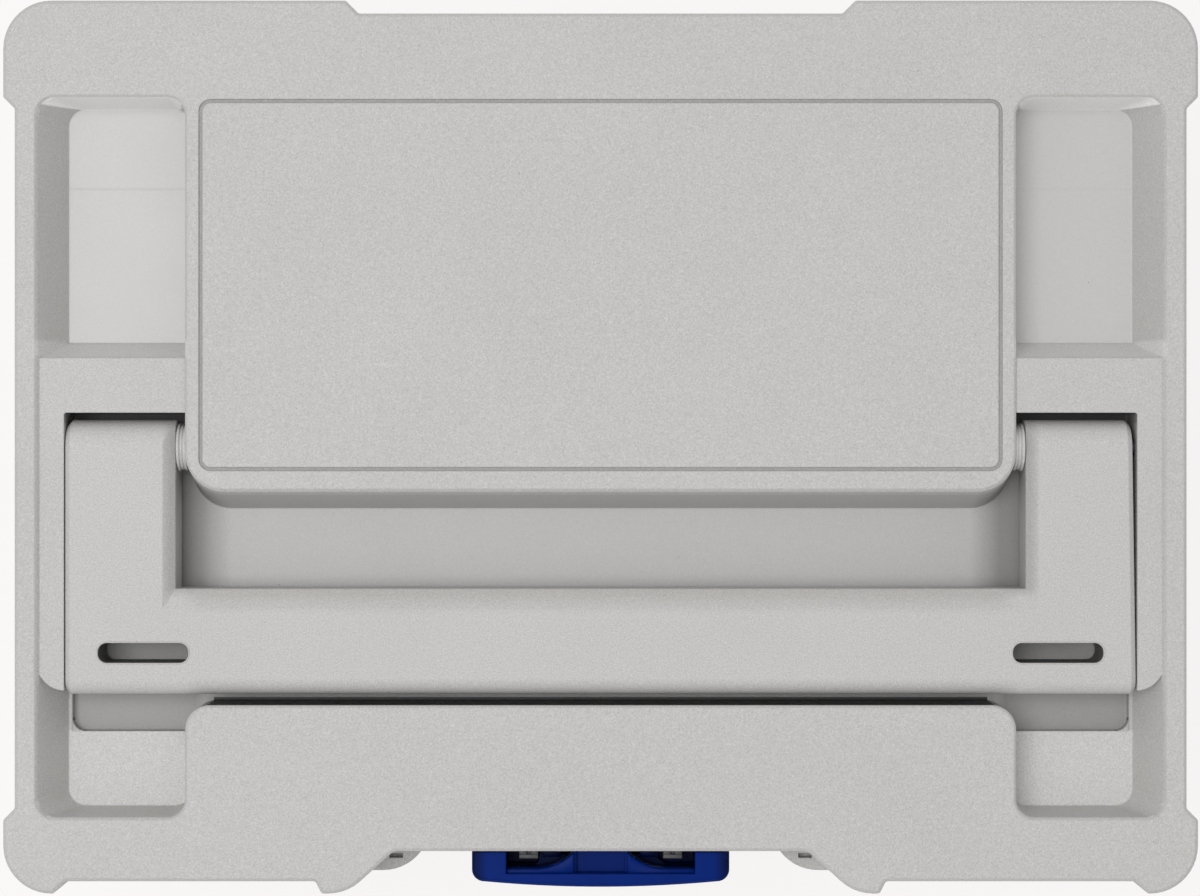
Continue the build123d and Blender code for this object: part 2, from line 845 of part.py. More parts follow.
def build_latch_knob():
    """T-shaped turning latch with an open-topped head, a grip stem, a hub and a barrel."""
    front_end = latch_back - latch_depth + latch_bow
    front_middle = latch_back - latch_depth
    wall_back = front_middle + latch_front_wall
    pocket_half = latch_arm_half - latch_side_block
    boss_half = latch_boss_half + latch_boss_rib
    hole_back = wall_back + latch_boss_rib
    lug_low = catch_lug_bottom - latch_axis_z
    lug_high = catch_lug_top - latch_axis_z
    with BuildPart() as knob:
        # Head of the T
        with BuildSketch(Plane.XY.offset(latch_arm_bottom)) as head:
            with BuildLine():
                Line((-latch_arm_half, latch_back), (-latch_arm_half, front_end))
                ThreePointArc(
                    (-latch_arm_half, front_end), (0, front_middle), (latch_arm_half, front_end)
                )
                Line((latch_arm_half, front_end), (latch_arm_half, latch_back))
                Line((latch_arm_half, latch_back), (-latch_arm_half, latch_back))
            make_face()
            fillet(head.vertices().group_by(Axis.Y)[0], latch_arm_corner)
        extrude(amount=latch_arm_height)
        front_edges = knob.edges().filter_by_position(Axis.Y, -half_depth, latch_back - latch_edge)
        chamfer(front_edges.filter_by(GeomType.CIRCLE), latch_edge)
        # Stem and hub
        stem_top = latch_arm_bottom + latch_edge - latch_axis_z
        stem_end = latch_stem_half - latch_stem_length
        with BuildSketch(Plane.XZ.offset(-latch_back)):
            with Locations((0, latch_axis_z + (stem_top + stem_end) / 2)):
                Rectangle(2 * latch_stem_half, stem_top - stem_end)
            with Locations((0, latch_axis_z + stem_end)):
                Circle(latch_stem_half)
        extrude(amount=latch_stem_depth)
        extrude(front_disc(latch_back, latch_hub_radius), amount=latch_hub_depth)
        hub_front = latch_back - latch_hub_depth
        hub_face = knob.faces().filter_by_position(
            Axis.Y, hub_front - pin_clearance, hub_front + pin_clearance
        )
        chamfer(hub_face.edges(), latch_edge)
        # Open-topped pocket in the head, lower at the ends than over the boss
        pocket_floor = latch_top - latch_pocket_depth
        for half, floor in (
            (pocket_half, latch_top - latch_boss_drop + latch_boss_rib),
            (latch_boss_half, latch_top - latch_boss_drop),
        ):
            with Locations((0, wall_back, floor)):
                Box(
                    2 * half,
                    latch_depth,
                    latch_top,
                    align=(Align.CENTER, Align.MIN, Align.MIN),
                    mode=Mode.SUBTRACT,
                )
        for side in (-1, 1):
            with Locations((side * (boss_half + pocket_half) / 2, wall_back, pocket_floor)):
                Box(
                    pocket_half - boss_half,
                    latch_depth,
                    latch_top,
                    align=(Align.CENTER, Align.MIN, Align.MIN),
                    mode=Mode.SUBTRACT,
                )
            # Deep hole behind the web, curved towards the boss
            with BuildSketch(Plane.XY.offset(latch_arm_bottom + latch_hole_floor)):
                with BuildLine():
                    curve_end = hole_back + latch_hole_radius - (
                        latch_hole_radius**2 - (latch_hole_flat - boss_half) ** 2
                    ) ** 0.5
                    web = RadiusArc(
                        (side * boss_half, curve_end),
                        (side * latch_hole_flat, hole_back),
                        side * latch_hole_radius,
                    )
                    Polyline(
                        web @ 1,
                        (side * pocket_half, hole_back),
                        (side * pocket_half, latch_back + latch_gap),
                        (side * boss_half, latch_back + latch_gap),
                        web @ 0,
                    )
                make_face()
            extrude(amount=latch_arm_height, mode=Mode.SUBTRACT)
        # Ring of clearance for the lid's catch lugs while the latch turns
        extrude(
            front_disc(
                latch_back + latch_gap,
                hypot(catch_lug_far, lug_high) + moving_gap,
                hypot(catch_lug_near, lug_low) - moving_gap,
            ),
            amount=catch_lug_reach + moving_gap,
            mode=Mode.SUBTRACT,
        )
        # Rib that comes to lie over the right-hand lug when the latch is turned
        rib_low = latch_axis_z + catch_lug_near
        with Locations((-(lug_high + moving_gap + lock_rib_width), wall_back, rib_low)):
            Box(
                lock_rib_width,
                latch_back - wall_back,
                catch_lug_far - catch_lug_near,
                align=(Align.MIN, Align.MIN, Align.MIN),
            )
        # Barrel that turns in the bush
        extrude(front_disc(latch_back, latch_barrel_radius), amount=latch_back - barrel_end)
        extrude(
            front_disc(barrel_end, screw_radius),
            amount=screw_length + side_gap,
            mode=Mode.SUBTRACT,
        )
    return knob.part


def build_latch_bush():
    """Flanged plastic bearing of the latch in the front wall."""
    with BuildPart() as bush:
        extrude(
            front_disc(body_bay_face, bush_outer, bush_inner), amount=body_bay_face - boss_rear
        )
        extrude(
            front_disc(body_bay_face, bush_outer + bush_flange_width, bush_inner),
            amount=bush_flange,
        )
    return bush.part


def build_latch_spring():
    """Detent washer behind the bush."""
    inner = bush_inner + side_gap
    with BuildPart() as spring:
        extrude(front_disc(boss_rear, inner + spring_width, inner), amount=-spring_thickness)
    return spring.part


def build_latch_washer():
    """Washer that holds the barrel from inside."""
    with BuildPart() as washer:
        extrude(
            front_disc(barrel_end, latch_barrel_radius + washer_overlap, screw_radius),
            amount=-washer_thickness,
        )
    return washer.part


def build_latch_screw():
    """Cap screw in the latch's barrel."""
    head_seat = barrel_end + washer_thickness
    with BuildPart() as screw:
        extrude(front_disc(head_seat, screw_radius), amount=washer_thickness + screw_length)
        extrude(front_disc(head_seat, screw_head_radius), amount=-screw_head_height)
        chamfer(screw.edges().sort_by(Axis.Y)[-1], side_gap)
        with BuildSketch(Plane.XZ.offset(-(head_seat + screw_head_height))):
            with Locations((0, latch_axis_z)):
                RegularPolygon(screw_socket_radius, 6)
        extrude(amount=screw_socket_depth, mode=Mode.SUBTRACT)
    return screw.part


def build_front_handle():
    """Folding front handle: a rounded bar shape cut to the U seen from the front."""
    radius = front_handle_thickness / 2
    bottom = front_handle_rise - front_handle_reach
    with BuildPart() as handle:
        with BuildSketch(Plane.YZ):
            with Locations((front_handle_y, (front_handle_rise + bottom + radius) / 2)):
                SlotCenterToCenter(
                    front_handle_rise - bottom - radius, 2 * radius, rotation=90
                )
        extrude(amount=front_handle_outer, both=True)
        with BuildSketch(Plane.XZ.offset(-front_handle_y - radius)):
            with Locations((0, bottom)):
                RectangleRounded(
                    2 * front_handle_outer,
                    front_handle_reach + radius + front_handle_corner_radius,
                    front_handle_corner_radius,
                    align=(Align.CENTER, Align.MIN),
                )
            with Locations((0, bottom + front_handle_bar)):
                RectangleRounded(
                    2 * front_handle_inner,
                    front_handle_reach,
                    front_handle_inner_radius,
                    align=(Align.CENTER, Align.MIN),
                    mode=Mode.SUBTRACT,
                )
        extrude(amount=front_handle_thickness, mode=Mode.INTERSECT)
        extrude(
            side_disc(
                0, front_handle_y, front_handle_rise, front_handle_pin_radius + pin_clearance
            ),
            amount=front_handle_outer,
            both=True,
            mode=Mode.SUBTRACT,
        )
    return handle.part


def bracket_screw_discs(y, radius):
    """One disc for each bracket screw, on the plane across Y at y."""
    middle = (bracket_inner + bracket_outer) / 2
    with BuildSketch(Plane.XZ.offset(-y)) as discs:
        with Locations((0, front_handle_rise)):
            with GridLocations(2 * middle, bracket_screw_spacing, 2, 2):
                Circle(radius)
    return discs.sketch


def build_bracket(side):
    """Bracket on the front wall that holds one pin of the front handle."""
    ear = front_handle_pin_radius + bracket_ear_wall
    with BuildPart() as bracket:
        with BuildSketch(Plane.YZ.offset(side * bracket_inner)) as profile:
            with Locations((body_bay_face, front_handle_rise)):
                Rectangle(bracket_plate, bracket_height, align=(Align.MAX, Align.CENTER))
            fillet(profile.vertices().group_by(Axis.X)[0], bracket_plate_radius)
            with Locations((body_bay_face, front_handle_rise)):
                Rectangle(
                    body_bay_face - front_handle_y, 2 * ear, align=(Align.MAX, Align.CENTER)
                )
            with Locations((front_handle_y, front_handle_rise)):
                Circle(ear)
        extrude(amount=side * bracket_width)
        extrude(
            side_disc(
                side * bracket_inner, front_handle_y, front_handle_rise, front_handle_pin_radius
            ),
            amount=side * (bracket_width - bracket_pin_wall),
            mode=Mode.SUBTRACT,
        )
        extrude(
            bracket_screw_discs(body_bay_face, bracket_screw_radius),
            amount=bracket_screw_bite,
            mode=Mode.SUBTRACT,
        )
    return bracket.part


def build_bracket_screws():
    """The four hexagon-headed screws that hold the brackets from inside the body."""
    head_seat = body_bay_face + body_wall
    middle = (bracket_inner + bracket_outer) / 2
    with BuildPart() as screws:
        extrude(
            bracket_screw_discs(head_seat, bracket_screw_radius),
            amount=body_wall + bracket_screw_bite,
        )
        with BuildSketch(Plane.XZ.offset(-head_seat)):
            with Locations((0, front_handle_rise)):
                with GridLocations(2 * middle, bracket_screw_spacing, 2, 2):
                    RegularPolygon(bracket_screw_head_radius, 6)
        extrude(amount=-bracket_screw_head_height)
    return screws.part


def build_front_handle_pin(side):
    """Steel pin from a bracket through one arm of the front handle."""
    length = front_handle_arm + side_gap + bracket_width - bracket_pin_wall
    with BuildPart() as pin:
        extrude(
            side_disc(
                side * front_handle_inner,
                front_handle_y,
                front_handle_rise,
                front_handle_pin_radius,
            ),
            amount=side * length,
        )
    return pin.part


pieces = {
    "lid_shell": build_lid_shell(),
    "body_shell": build_body_shell(),
    "lid_handle": build_lid_handle(),
    "handle_pin_left": build_handle_pin(-1),
    "handle_pin_right": build_handle_pin(1),
    "handle_bush_left": build_handle_bush(-1),
    "handle_bush_right": build_handle_bush(1),
    "hinge_pin_left": build_hinge_pin(-1),
    "hinge_pin_right": build_hinge_pin(1),
    "latch_knob": build_latch_knob(),
    "latch_bush": build_latch_bush(),
    "latch_detent_spring": build_latch_spring(),
    "latch_washer": build_latch_washer(),
    "latch_screw": build_latch_screw(),
    "front_handle": build_front_handle(),
    "front_handle_pin_left": build_front_handle_pin(-1),
    "front_handle_pin_right": build_front_handle_pin(1),
    "front_bracket_left": build_bracket(-1),
    "front_bracket_right": build_bracket(1),
    "front_bracket_screws": build_bracket_screws(),
}

os.makedirs("parts", exist_ok=True)
for name, piece in pieces.items():
    piece.label = name
    export_step(piece, f"parts/{name}.step")
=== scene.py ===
"""Looks of the stackable tool case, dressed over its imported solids.

Metres, in the solids' own frame: +Z is up, the latch is on -Y and the hinges are on +Y.
"""

import logging
import math
from dataclasses import dataclass
from enum import Enum
from functools import cached_property
from typing import Any, Iterable, Optional

import bmesh
import bpy
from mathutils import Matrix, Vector


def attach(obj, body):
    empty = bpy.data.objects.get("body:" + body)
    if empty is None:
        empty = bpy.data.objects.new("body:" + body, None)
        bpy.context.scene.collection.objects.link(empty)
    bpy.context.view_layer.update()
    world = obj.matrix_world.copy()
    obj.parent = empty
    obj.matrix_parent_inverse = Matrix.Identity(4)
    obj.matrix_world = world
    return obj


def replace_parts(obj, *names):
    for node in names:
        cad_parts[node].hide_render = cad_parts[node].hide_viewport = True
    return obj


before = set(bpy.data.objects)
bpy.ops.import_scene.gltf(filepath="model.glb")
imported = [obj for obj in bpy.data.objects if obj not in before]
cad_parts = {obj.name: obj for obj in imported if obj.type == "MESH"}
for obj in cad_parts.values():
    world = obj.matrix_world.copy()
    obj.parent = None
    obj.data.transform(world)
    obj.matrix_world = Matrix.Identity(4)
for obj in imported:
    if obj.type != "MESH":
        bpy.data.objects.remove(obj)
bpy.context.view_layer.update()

log = logging.getLogger("tool_case")

Span = tuple[float, float]
Triple = tuple[float, float, float]
Colour = Triple

MM = 0.001
# Corners of a solid's triangles that lie closer than this are one.
MERGE_MM = 0.002
# Faces that turn by less than this are shaded as one curve.
CURVE_DEG = 28.0
# Edges of an added piece are bevelled from the first angle on, and crisp from the second.
BEVEL_DEG = 40.0
CREASE_DEG = 50.0
# Triangles whose normals agree this well lie in one flat.
FLAT_COSINE = 0.99999
# Rays that feel for a nearby edge, and steps of a turned ring.
EDGE_SAMPLES = 6
TURN_STEPS = 72


class Value:
    """A number in a material's node tree that Python's operators work on."""

    def __init__(self, tree: "Network", socket: bpy.types.NodeSocket) -> None:
        """Keeps the tree and the output socket that gives the number.

        Args:
            tree: The tree that new nodes go into.
            socket: The output that carries the number.
        """
        self.tree = tree
        self.socket = socket

    def _joined(self, operation: str, first: Any, second: Any) -> "Value":
        """Adds one Math node.

        Args:
            operation: Name of the node's operation.
            first: Upper input, a Value or a number.
            second: Lower input, a Value or a number.

        Returns:
            The node's result.
        """
        node = self.tree.node("ShaderNodeMath", {"operation": operation}, {0: first, 1: second})
        return Value(self.tree, node.outputs[0])

    def __add__(self, other: Any) -> "Value":
        """Sum."""
        return self._joined("ADD", self, other)

    __radd__ = __add__

    def __sub__(self, other: Any) -> "Value":
        """Difference."""
        return self._joined("SUBTRACT", self, other)

    def __rsub__(self, other: Any) -> "Value":
        """Difference the other way round."""
        return self._joined("SUBTRACT", other, self)

    def __mul__(self, other: Any) -> "Value":
        """Product."""
        return self._joined("MULTIPLY", self, other)

    __rmul__ = __mul__

    def __gt__(self, other: Any) -> "Value":
        """1 where this is greater, else 0."""
        return self._joined("GREATER_THAN", self, other)

    def __lt__(self, other: Any) -> "Value":
        """1 where this is less, else 0."""
        return self._joined("LESS_THAN", self, other)

    def __abs__(self) -> "Value":
        """Size without sign."""
        return self._joined("ABSOLUTE", self, 0.0)

    def top(self, other: Any) -> "Value":
        """The greater of two."""
        return self._joined("MAXIMUM", self, other)

    def ramp(self, low: float, high: float) -> "Value":
        """Rises from 0 at low to 1 at high, or falls where high is below low.

        Args:
            low: Where the result is 0.
            high: Where the result is 1.

        Returns:
            The clamped result.
        """
        node = self.tree.node(
            "ShaderNodeMapRange", {"clamp": True}, {"Value": self, "From Min": low, "From Max": high}
        )
        return Value(self.tree, node.outputs[0])

    def between(self, low: float, high: float, soft: float) -> "Value":
        """1 from low to high, with soft ends of that width inside."""
        return self.ramp(low, low + soft) * self.ramp(high, high - soft)


class Network:
    """A node tree of any kind that one method adds nodes to."""

    def __init__(self, tree: bpy.types.NodeTree) -> None:
        """Keeps the tree.

        Args:
            tree: The tree that new nodes go into.
        """
        self.tree = tree

    def node(
        self, kind: str, settings: dict[str, Any], sockets: dict[Any, Any]
    ) -> bpy.types.Node:
        """Adds a node, sets what it is told and joins its inputs.

        Args:
            kind: Type of the node.
            settings: Properties, set first.
            sockets: Inputs by name or index: a Value, an output socket or a constant.

        Returns:
            The new node.
        """
        made = self.tree.nodes.new(kind)
        for name, setting in settings.items():
            setattr(made, name, setting)
        for key, given in sockets.items():
            if isinstance(given, Value):
                given = given.socket
            if isinstance(given, bpy.types.NodeSocket):
                self.tree.links.new(given, made.inputs[key])
            else:
                made.inputs[key].default_value = given
        return made


class Tree(Network):
    """Builds the shader nodes of a material or of the world."""

    def __init__(self, owner: bpy.types.ID) -> None:
        """Starts an empty tree.

        Args:
            owner: The material or world that the nodes belong to.
        """
        owner.use_nodes = True
        super().__init__(owner.node_tree)
        self.tree.nodes.clear()
        self.owner = owner

    @cached_property
    def place(self) -> bpy.types.NodeSocket:
        """Place on the piece, in its own coordinates."""
        return self.node("ShaderNodeTexCoord", {}, {}).outputs["Object"]

    @cached_property
    def axes(self) -> list[Value]:
        """X, Y and Z of the place."""
        split = self.node("ShaderNodeSeparateXYZ", {}, {0: self.place})
        return [Value(self, output) for output in split.outputs]

    @property
    def x(self) -> Value:
        """Place from left to right."""
        return self.axes[0]

    @property
    def y(self) -> Value:
        """Place from the latch to the hinges."""
        return self.axes[1]

    @property
    def z(self) -> Value:
        """Height above the feet."""
        return self.axes[2]

    def seen(self) -> Value:
        """Tells what the camera sees from what only lights the case.

        Returns:
            1 for what is seen straight, mirrored or through something clear.
        """
        rays = self.node("ShaderNodeLightPath", {}, {}).outputs
        found = Value(self, rays["Is Camera Ray"])
        for kind in ("Is Glossy Ray", "Is Transmission Ray"):
            found = found.top(Value(self, rays[kind]))
        return found

    def noise(self, size_mm: float, detail: float = 2.0, stretch: Optional[Triple] = None) -> Value:
        """Soft random values from 0 to 1.

        Args:
            size_mm: Width of one blob.
            detail: Layers of finer noise.
            stretch: How much longer the blobs are along each axis.

        Returns:
            The noise.
        """
        place = self.place
        if stretch:
            scale = tuple(1.0 / part for part in stretch)
            place = self.node("ShaderNodeMapping", {}, {0: place, 3: scale}).outputs[0]
        settings = {"Vector": place, "Scale": 1.0 / (size_mm * MM), "Detail": detail}
        return Value(self, self.node("ShaderNodeTexNoise", {}, settings).outputs[0])

    def cells(self, size_mm: float) -> Value:
        """Scatters points.

        Args:
            size_mm: How far the points lie apart.

        Returns:
            Distance to the nearest point, in widths of a cell.
        """
        settings = {"Vector": self.place, "Scale": 1.0 / (size_mm * MM)}
        made = self.node("ShaderNodeTexVoronoi", {"feature": "F1"}, settings)
        return Value(self, made.outputs["Distance"])

    def blend(self, share: Any, first: Any, second: Any, how: str = "MIX") -> bpy.types.NodeSocket:
        """Mixes two colours.

        Args:
            share: How much of the second shows.
            first: Colour where share is 0.
            second: Colour where share is 1, or what the first is multiplied by.
            how: MIX or MULTIPLY.

        Returns:
            The mixed colour.
        """
        first, second = (
            (*part, 1.0) if isinstance(part, tuple) else part for part in (first, second)
        )
        settings = {"data_type": "RGBA", "blend_type": how}
        made = self.node("ShaderNodeMix", settings, {0: share, 6: first, 7: second})
        return made.outputs[2]

    def scaled(self, share: Any, colour: Any, factor: float) -> bpy.types.NodeSocket:
        """A colour times a factor where share is 1."""
        return self.blend(share, colour, (factor, factor, factor), "MULTIPLY")

    def rounded_edges(self, radius_mm: float) -> bpy.types.NodeSocket:
        """Normals that look rounded along every edge."""
        made = self.node("ShaderNodeBevel", {"samples": EDGE_SAMPLES}, {"Radius": radius_mm * MM})
        return made.outputs[0]

    def bump(self, height: Value, depth_mm: float, edges: Any) -> bpy.types.NodeSocket:
        """Relief on top of the rounded edges.

        Args:
            height: Height from 0 to 1.
            depth_mm: Depth that a height of 1 stands for.
            edges: Normals to start from.

        Returns:
            The normals.
        """
        sockets = {"Strength": 1.0, "Distance": depth_mm * MM, "Height": height, "Normal": edges}
        return self.node("ShaderNodeBump", {}, sockets).outputs[0]

    def finish(self, constants: dict[str, Any], varying: dict[str, Any]) -> bpy.types.Material:
        """Ends the tree in one Principled shader.

        Args:
            constants: Sockets with one value all over.
            varying: Sockets that a link feeds.

        Returns:
            The finished material.
        """
        shader = self.node("ShaderNodeBsdfPrincipled", {}, {**constants, **varying})
        self.node("ShaderNodeOutputMaterial", {}, {0: shader.outputs[0]})
        return self.owner


@dataclass(frozen=True)
class Zone:
    """A box on both sides of the case, in millimetres, with its own colour and smoothness. Most
    zones' colours are painted shade or painted light.

    Nothing below the lowest height is in it, which keeps it off the underside of the lid's well.
    """

    x: Span
    y: Span
    z: Span
    colour: Colour
    smooth: float = 1.0
    soft: float = 0.8
    lowest: float = 163.7

    def mask(self, tree: Tree) -> Value:
        """Finds the box on a piece.

        Args:
            tree: The material's tree.

        Returns:
            1 inside the box and 0 outside, with soft ends.
        """
        soft = self.soft * MM
        across = abs(tree.x).between(self.x[0] * MM, self.x[1] * MM, soft)
        along = tree.y.between(self.y[0] * MM, self.y[1] * MM, soft)
        upright = tree.z.between(self.z[0] * MM, self.z[1] * MM, soft)
        return across * along * upright * (tree.z > self.lowest * MM)


@dataclass(frozen=True)
class MouldedPlastic:
    """Grained matt plastic, with smoother places where the mould was polished, and with painted shade
    and painted light in its zones.
    """

    name: str
    colour: Colour
    roughness: float = 0.56
    smooth_roughness: float = 0.30
    polish: float = 0.95
    grain_mm: float = 0.46
    coarse_times: float = 3.1
    fine_share: float = 0.75
    grain_depth_mm: float = 0.18
    grain_tint: float = 0.85
    grain_shine: float = 0.05
    hollows: Span = (0.46, 0.28)
    crests: Span = (0.54, 0.72)
    darker: float = 0.82
    paler: float = 1.20
    cloud_mm: float = 46.0
    cloud_levels: Span = (0.30, 0.70)
    cloud_share: float = 0.12
    cloud_shine: float = 0.07
    edge_mm: float = 0.7
    # Boxes whose colours paint shade or light onto the piece, and whose smoothness is the mould's
    # polish.
    zones: tuple[Zone, ...] = ()
    mould_lines_mm: tuple[float, ...] = ()
    mould_line_ramp_mm: Span = (0.45, 0.1)
    mould_line_drop: float = 0.5
    dust: float = 0.75
    dust_apart_mm: float = 8.0
    dust_size: float = 0.022
    dust_colour: Colour = (0.16, 0.15, 0.14)
    refraction: float = 1.48
    specular: float = 0.42

    def make(self) -> bpy.types.Material:
        """Builds the material.

        Returns:
            The finished material.
        """
        tree = Tree(bpy.data.materials.new(self.name))
        smooth: Any = tree.z * 0.0
        base: Any = self.colour
        # Each zone's colour paints shade or light onto its place; its smoothness is polish.
        for zone in self.zones:
            here = zone.mask(tree)
            base = tree.blend(here, base, zone.colour)
            smooth = smooth.top(here * zone.smooth)
        grain = tree.noise(self.grain_mm, 1.0)
        coarse = tree.noise(self.grain_mm * self.coarse_times)
        cloud = tree.noise(self.cloud_mm)
        relief = grain * self.fine_share + coarse * (1.0 - self.fine_share)
        relief = relief * (1.0 - smooth * self.polish)
        outer, inner = (edge * MM for edge in self.mould_line_ramp_mm)
        for line in self.mould_lines_mm:
            step = abs(tree.y - line * MM).ramp(outer, inner)
            relief = relief - step * smooth * self.mould_line_drop
        grained = (1.0 - smooth) * self.grain_tint
        clouded = tree.scaled(cloud.ramp(*self.cloud_levels) * self.cloud_share, base, self.darker)
        dotted = tree.scaled(grain.ramp(*self.hollows) * grained, clouded, self.darker)
        tinted = tree.scaled(grain.ramp(*self.crests) * grained, dotted, self.paler)
        speck = (tree.cells(self.dust_apart_mm) < self.dust_size) * self.dust
        coloured = tree.blend(speck, tinted, self.dust_colour)
        shine = (
            (1.0 - smooth) * self.roughness
            + smooth * self.smooth_roughness
            + (cloud - 0.5) * self.cloud_shine
            + (grain - 0.5) * self.grain_shine
        )
        normal = tree.bump(relief, self.grain_depth_mm, tree.rounded_edges(self.edge_mm))
        return tree.finish(
            {"IOR": self.refraction, "Specular IOR Level": self.specular},
            {"Base Color": coloured, "Roughness": shine, "Normal": normal},
        )


@dataclass(frozen=True)
class SatinPlastic:
    """Deep-coloured plastic with a satin face, with painted shade in the latch's deep holes and on
    its outer wings, which keep a band of painted highlight.
    """

    name: str
    colour: Colour
    roughness: float = 0.30
    grain_mm: float = 0.5
    grain_depth_mm: float = 0.018
    grain_shine: float = 0.08
    edge_mm: float = 0.8
    cloud_mm: float = 14.0
    cloud_levels: Span = (0.38, 0.72)
    cloud_share: float = 0.30
    cloud_shine: float = 0.10
    paler: float = 1.45
    # How dark the painted shade is, in the deep holes and on the outer wings.
    deeper: float = 0.10
    hole_floor_mm: float = 171.5
    hole_fade_mm: float = 1.5
    hole_front_mm: float = -142.4
    hole_reach_mm: float = 31.6
    # Band of the outer wings left bright as a painted highlight; the rest of the wings gets painted
    # shade.
    wing_highlight_mm: Span = (28.0, 41.0)
    wing_fade_mm: float = 3.2
    wing_edge_mm: float = 1.0
    wing_shade: float = 0.78
    dust: float = 0.4
    dust_apart_mm: float = 11.0
    dust_size: float = 0.010
    dust_colour: Colour = (0.10, 0.12, 0.20)
    refraction: float = 1.5
    specular: float = 0.045

    def make(self) -> bpy.types.Material:
        """Builds the material.

        Returns:
            The finished material.
        """
        tree = Tree(bpy.data.materials.new(self.name))
        grain = tree.noise(self.grain_mm, 1.5)
        cloud = tree.noise(self.cloud_mm)
        paler = tuple(min(1.0, part * self.paler) for part in self.colour)
        deep = tuple(part * self.deeper for part in self.colour)
        reach, floor = self.hole_reach_mm * MM, self.hole_floor_mm * MM
        # Painted shade in the latch's deep holes, below the hole floor height and behind the front
        # lip.
        hole_shade = tree.z.ramp((self.hole_floor_mm + self.hole_fade_mm) * MM, floor)
        behind = (tree.y > self.hole_front_mm * MM) * (abs(tree.x) < reach)
        base = tree.blend(hole_shade * behind, self.colour, deep)
        # Painted shade on the outer wings, except a band kept bright as a painted highlight.
        start, end = (edge * MM for edge in self.wing_highlight_mm)
        wing_highlight_band = abs(tree.x).between(start, end, self.wing_fade_mm * MM)
        outside = abs(tree.x).ramp(reach, (self.hole_reach_mm + self.wing_edge_mm) * MM)
        base = tree.blend(outside * (1.0 - wing_highlight_band) * self.wing_shade, base, deep)
        tinted = tree.blend(cloud.ramp(*self.cloud_levels) * self.cloud_share, base, paler)
        speck = (tree.cells(self.dust_apart_mm) < self.dust_size) * self.dust
        coloured = tree.blend(speck, tinted, self.dust_colour)
        shine = (
            self.roughness + (cloud - 0.5) * self.cloud_shine + (grain - 0.5) * self.grain_shine
        )
        normal = tree.bump(grain, self.grain_depth_mm, tree.rounded_edges(self.edge_mm))
        return tree.finish(
            {"IOR": self.refraction, "Specular IOR Level": self.specular},
            {"Base Color": coloured, "Roughness": shine, "Normal": normal},
        )


@dataclass(frozen=True)
class TurnedSteel:
    """Plated steel with fine marks round or along the piece."""

    name: str
    colour: Colour
    roughness: float
    stretch: Triple
    mark_mm: float = 0.25
    mark_levels: Span = (0.35, 0.70)
    mark_share: float = 0.5
    mark_shine: float = 0.22
    mark_depth_mm: float = 0.012
    cloud_mm: float = 6.0
    cloud_share: float = 0.2
    cloud_shine: float = 0.06
    duller: float = 0.80
    edge_mm: float = 0.15

    def make(self) -> bpy.types.Material:
        """Builds the material.

        Returns:
            The finished material.
        """
        tree = Tree(bpy.data.materials.new(self.name))
        marks = tree.noise(self.mark_mm, 3.0, self.stretch)
        cloud = tree.noise(self.cloud_mm)
        dull = tuple(part * self.duller for part in self.colour)
        worn = marks.ramp(*self.mark_levels) * self.mark_share + cloud * self.cloud_share
        shine = (
            self.roughness + (marks - 0.5) * self.mark_shine + (cloud - 0.5) * self.cloud_shine
        )
        normal = tree.bump(marks, self.mark_depth_mm, tree.rounded_edges(self.edge_mm))
        return tree.finish(
            {"Metallic": 1.0},
            {"Base Color": tree.blend(worn, self.colour, dull), "Roughness": shine, "Normal": normal},
        )


# Zones of the case. Most colours here are painted shade in gaps, recesses, grooves and walls, or
# painted light that makes pocket floors, walls and ramps paler.
CASE_LIGHT_AND_SHADE_ZONES = (
    # Floors of the rear pockets: polished, and painted paler as painted light against their shade.
    Zone((136.0, 188.5), (28.0, 117.0), (167.6, 169.6), (0.600, 0.594, 0.590)),
    # Platforms of the front pockets, painted paler as painted light.
    Zone((136.0, 188.5), (-124.0, -95.0), (167.6, 169.6), (0.690, 0.680, 0.668), 0.0),
    # Rear walls of the rear pockets, painted much paler as painted light.
    Zone((136.0, 188.5), (113.4, 116.6), (168.8, 186.4), (0.980, 0.970, 0.965), 0.3, 0.4),
    # Ramps into the rear pockets, painted paler as painted light.
    Zone((136.0, 188.5), (29.0, 36.2), (169.2, 188.0), (0.680, 0.670, 0.658), 0.0, 1.5),
    # Walls of the handle's well, darkened as painted shade.
    Zone((-10.0, 178.9), (-95.6, 12.2), (160.0, 182.6), (0.470, 0.465, 0.460), 0.3, 0.8),
    # Floor of the well.
    Zone((-10.0, 178.6), (-96.2, -14.0), (160.0, 166.0), (0.560, 0.550, 0.542), 0.8, 1.5),
    # Painted shade at the ends of the finger recess.
    Zone((125.0, 165.0), (-72.0, 8.0), (150.0, 184.0), (0.280, 0.275, 0.270), 0.6, 10.0),
    # Painted shade on the strip of well floor in the front pockets, next to the handle's bar.
    Zone((134.0, 180.0), (-99.0, -76.0), (160.0, 168.0), (0.360, 0.355, 0.348), 0.6, 3.0),
    # Painted shade, near black, in the gaps behind the handle's arms.
    Zone((137.2, 178.2), (7.6, 12.2), (160.0, 185.3), (0.085, 0.084, 0.083), 0.3, 0.6),
    # Painted shade, near black, in the gap in front of the handle's bar.
    Zone((-10.0, 131.0), (-86.8, -84.4), (160.0, 185.2), (0.050, 0.049, 0.048), 0.3, 0.3),
    # Painted shade in the groove round the pad.
    Zone((-10.0, 133.5), (-8.0, 115.6), (185.6, 186.86), (0.390, 0.385, 0.380), 0.0, 0.15),
)
